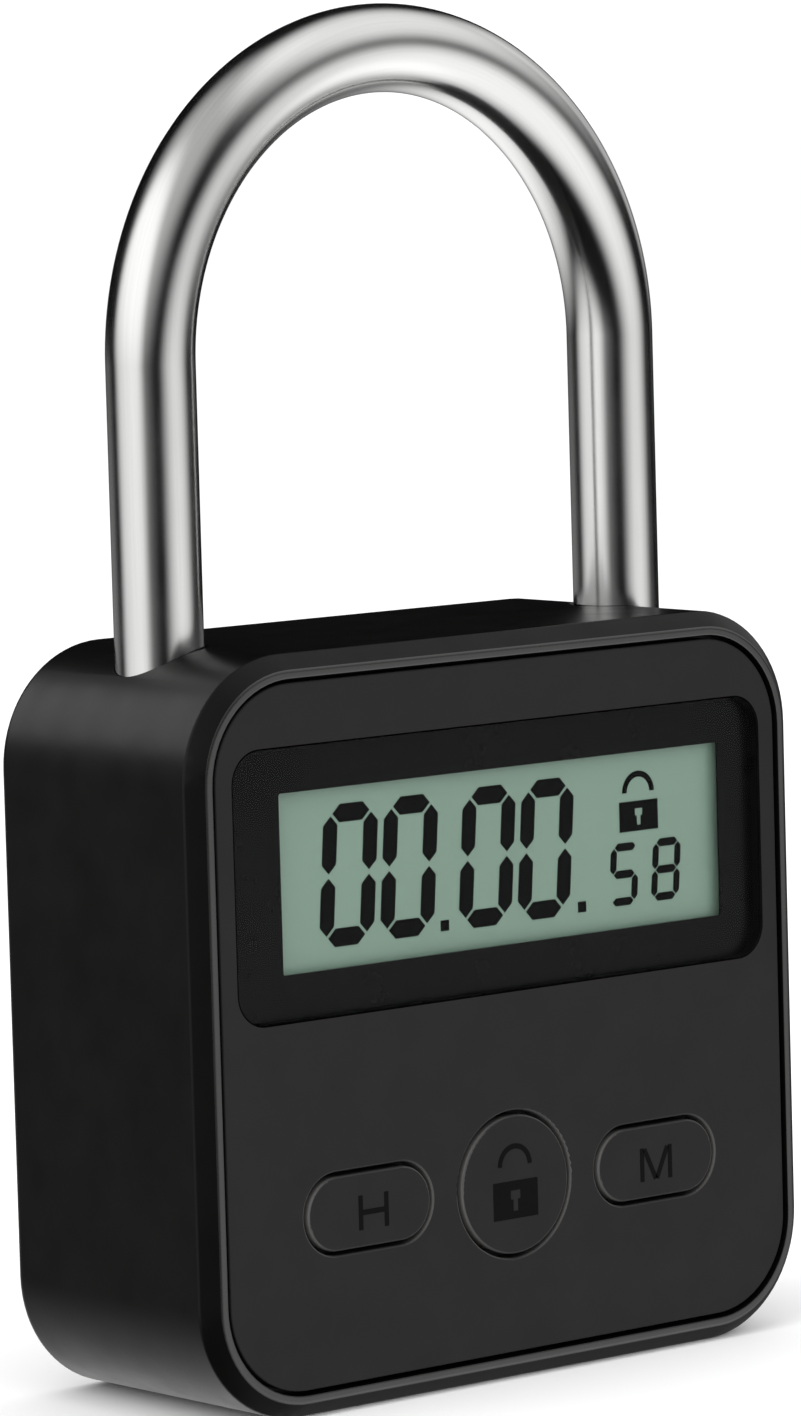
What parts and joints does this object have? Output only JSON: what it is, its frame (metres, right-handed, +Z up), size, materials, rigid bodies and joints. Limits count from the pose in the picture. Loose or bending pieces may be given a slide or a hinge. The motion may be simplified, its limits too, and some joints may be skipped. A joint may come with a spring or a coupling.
{
  "type": "timer padlock",
  "caption": "Electronic countdown padlock: polished U shackle, segment display and push buttons on a cast housing, with a geared motor that throws the latch bolt.",
  "frame": {"origin": "centre of the housing's bottom face", "axes": "+X to the right seen from the front, +Y to the back, +Z up through the shackle"},
  "size_m": [0.062, 0.0244, 0.1081],
  "materials": {
    "black_casting": "satin black powder coat on a zinc casting",
    "dark_panel": "fine matt moulded plastic, dark grey",
    "button_plastic": "fine matt moulded plastic, dark grey",
    "clear_window": "clear acrylic plate",
    "black_mask": "black print behind the window",
    "display_cell": "grey-green reflective display cell",
    "white_plastic": "white moulded plastic",
    "strip_rubber": "conductive rubber strip",
    "board_green": "solder mask over glass fibre",
    "chip_black": "moulded chip package",
    "plunger_plastic": "moulded switch plunger",
    "plain_steel": "plain steel",
    "polished_steel": "polished and plated steel rod",
    "gear_brass": "machined brass",
    "bracket_plastic": "glass-filled moulded plastic",
    "battery_foil": "foil pouch",
    "cover_steel": "satin black coat on a steel plate",
    "screw_black": "blackened steel"
  },
  "bodies": {
    "housing": {"body_shell": "black_casting", "front_panel": "dark_panel", "display_lens": "clear_window", "display_mask": "black_mask", "lcd_glass": "display_cell", "lcd_backlight": "white_plastic", "lcd_frame": "white_plastic", "contact_strip": "strip_rubber", "main_board": "board_green", "controller_chip": "chip_black", "board_components": "chip_black", "tact_switches": "chip_black", "board_screws": "plain_steel", "charge_socket": "plain_steel", "retaining_pin": "plain_steel", "shackle_spring": "plain_steel", "gearbox": "gear_brass", "motor": "plain_steel", "motor_bracket": "bracket_plastic", "bracket_screws": "plain_steel", "battery": "battery_foil", "rear_cover": "cover_steel", "cover_screws": "screw_black"},
    "shackle_rod": {"shackle": "polished_steel"},
    "hour_key": {"hour_button": "button_plastic", "hour_switch_plunger": "plunger_plastic"},
    "lock_key": {"lock_button": "button_plastic", "lock_switch_plunger": "plunger_plastic"},
    "minute_key": {"minute_button": "button_plastic", "minute_switch_plunger": "plunger_plastic"},
    "latch": {"latch_bolt": "plain_steel"},
    "pinion": {"drive_pinion": "gear_brass", "gear_shaft": "plain_steel"}
  },
  "joints": [
    {"name": "shackle_lift", "type": "slide", "parent": "housing", "child": "shackle_rod", "axis": [0, 0, 1], "range_m": [0, 0.013], "deforming": ["shackle_spring"]},
    {"name": "hour_press", "type": "slide", "parent": "housing", "child": "hour_key", "axis": [0, 1, 0], "range_m": [0, 0.0005], "stiffness_N_per_m": 1500, "springref_m": -0.0006},
    {"name": "lock_press", "type": "slide", "parent": "housing", "child": "lock_key", "axis": [0, 1, 0], "range_m": [0, 0.0005], "stiffness_N_per_m": 1500, "springref_m": -0.0006},
    {"name": "minute_press", "type": "slide", "parent": "housing", "child": "minute_key", "axis": [0, 1, 0], "range_m": [0, 0.0005], "stiffness_N_per_m": 1500, "springref_m": -0.0006},
    {"name": "latch_throw", "type": "slide", "parent": "housing", "child": "latch", "axis": [1, 0, 0], "range_m": [0, 0.0026]},
    {"name": "pinion_spin", "type": "hinge", "parent": "housing", "child": "pinion", "pos_m": [0.005, 0.00398, 0.0528], "axis": [0, 0, 1], "range_deg": [0, 50]}
  ],
  "couplings": [
    {"joint": "pinion_spin", "follows": "latch_throw", "rad_per_m": 333.33}
  ]
}
